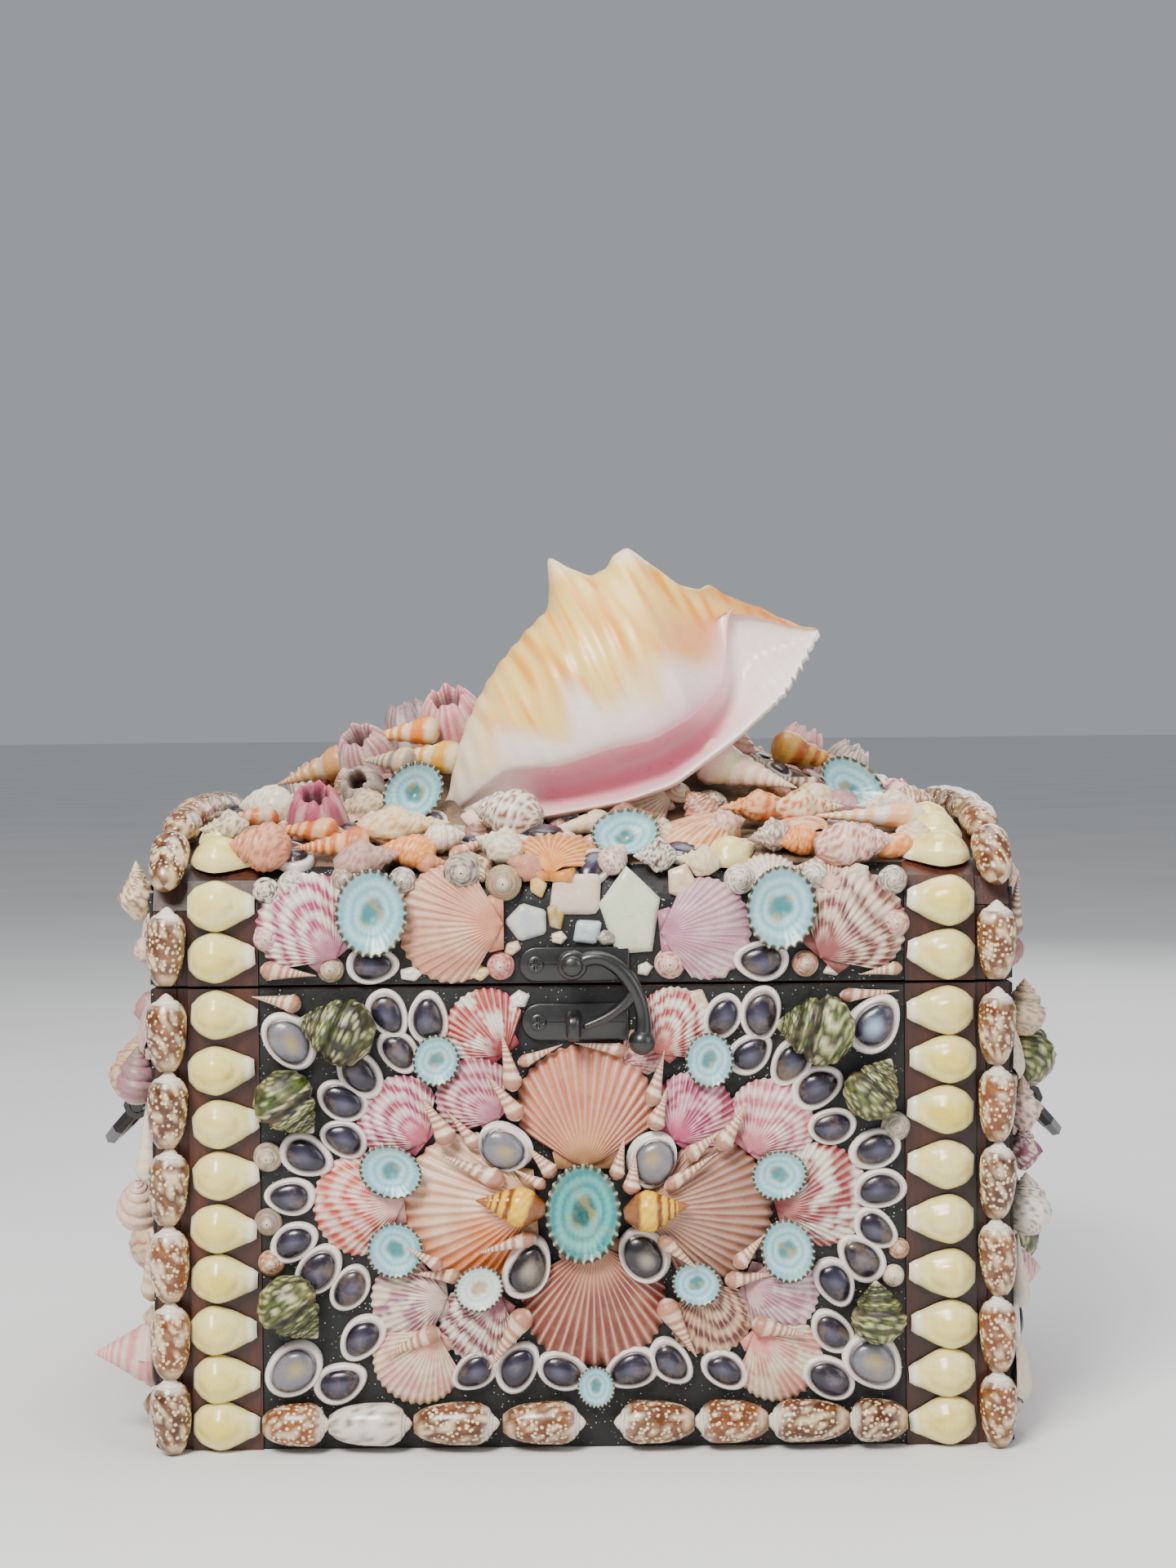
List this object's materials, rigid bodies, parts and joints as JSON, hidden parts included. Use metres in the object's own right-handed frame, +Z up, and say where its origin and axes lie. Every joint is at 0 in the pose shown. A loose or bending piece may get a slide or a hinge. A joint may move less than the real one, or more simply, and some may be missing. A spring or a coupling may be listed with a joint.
{
  "type": "shell-covered wooden chest",
  "caption": "Small domed wooden chest covered in a mosaic of sea shells, with a hinged lid, a hook latch, drop handles and a large horned conch on a heap of shells.",
  "frame": {"origin": "middle of the underside of the wooden box", "axes": "+Z up, the latched front faces -Y, +X to the right seen from the front"},
  "size_m": [0.3694, 0.2322, 0.3265],
  "materials": {
    "wood": "red-brown stained and varnished",
    "ground": "black with fine pale specks",
    "yellow_shell": "glossy",
    "brown_shell": "glossy",
    "mixed_shell": "satin",
    "conch_shell": "glossy inside, satin outside",
    "iron": "black, slightly worn"
  },
  "bodies": {
    "chest": {"bottom_board": "wood", "front_board": "wood", "back_board": "wood", "left_board": "wood", "right_board": "wood", "front_left_strap": "wood", "front_right_strap": "wood", "back_left_strap": "wood", "back_right_strap": "wood", "front_shells": "mixed_shell", "back_shells": "mixed_shell", "side_left_shells": "mixed_shell", "side_right_shells": "mixed_shell", "front_left_cowries": "yellow_shell", "front_right_cowries": "yellow_shell", "front_left_olives": "brown_shell", "front_right_olives": "brown_shell", "latch_plate_body": "iron", "hinge_left_body": "iron", "hinge_right_body": "iron", "handle_left_front_post": "iron", "handle_left_back_post": "iron", "handle_right_front_post": "iron", "handle_right_back_post": "iron"},
    "lid": {"lid_front_rail": "wood", "lid_back_rail": "wood", "lid_left_end": "wood", "lid_right_end": "wood", "lid_top_board": "wood", "lid_left_strap": "wood", "lid_right_strap": "wood", "lid_front_shells": "mixed_shell", "lid_left_shells": "mixed_shell", "lid_right_shells": "mixed_shell", "lid_heap": "mixed_shell", "conch": "conch_shell", "lid_left_cowries": "yellow_shell", "lid_right_cowries": "yellow_shell", "lid_left_olives": "brown_shell", "lid_right_olives": "brown_shell", "latch_plate_lid": "iron", "hinge_left_lid": "iron", "hinge_right_lid": "iron"},
    "hook": {"latch_hook": "iron"},
    "left_bail": {"handle_left_bail": "iron"},
    "right_bail": {"handle_right_bail": "iron"}
  },
  "joints": [
    {"name": "lid_hinge", "type": "hinge", "parent": "chest", "child": "lid", "pos_m": [0, 0.1046, 0.1631], "axis": [-1, 0, 0], "range_deg": [0, 95]},
    {"name": "hook_swing", "type": "hinge", "parent": "lid", "child": "hook", "pos_m": [-0.0031, -0.1131, 0.171], "axis": [0, -1, 0], "range_deg": [0, 80]},
    {"name": "left_bail_swing", "type": "hinge", "parent": "chest", "child": "left_bail", "pos_m": [-0.168, 0, 0.112], "axis": [0, 1, 0], "range_deg": [0, 90]},
    {"name": "right_bail_swing", "type": "hinge", "parent": "chest", "child": "right_bail", "pos_m": [0.168, 0, 0.112], "axis": [0, -1, 0], "range_deg": [0, 90]}
  ]
}
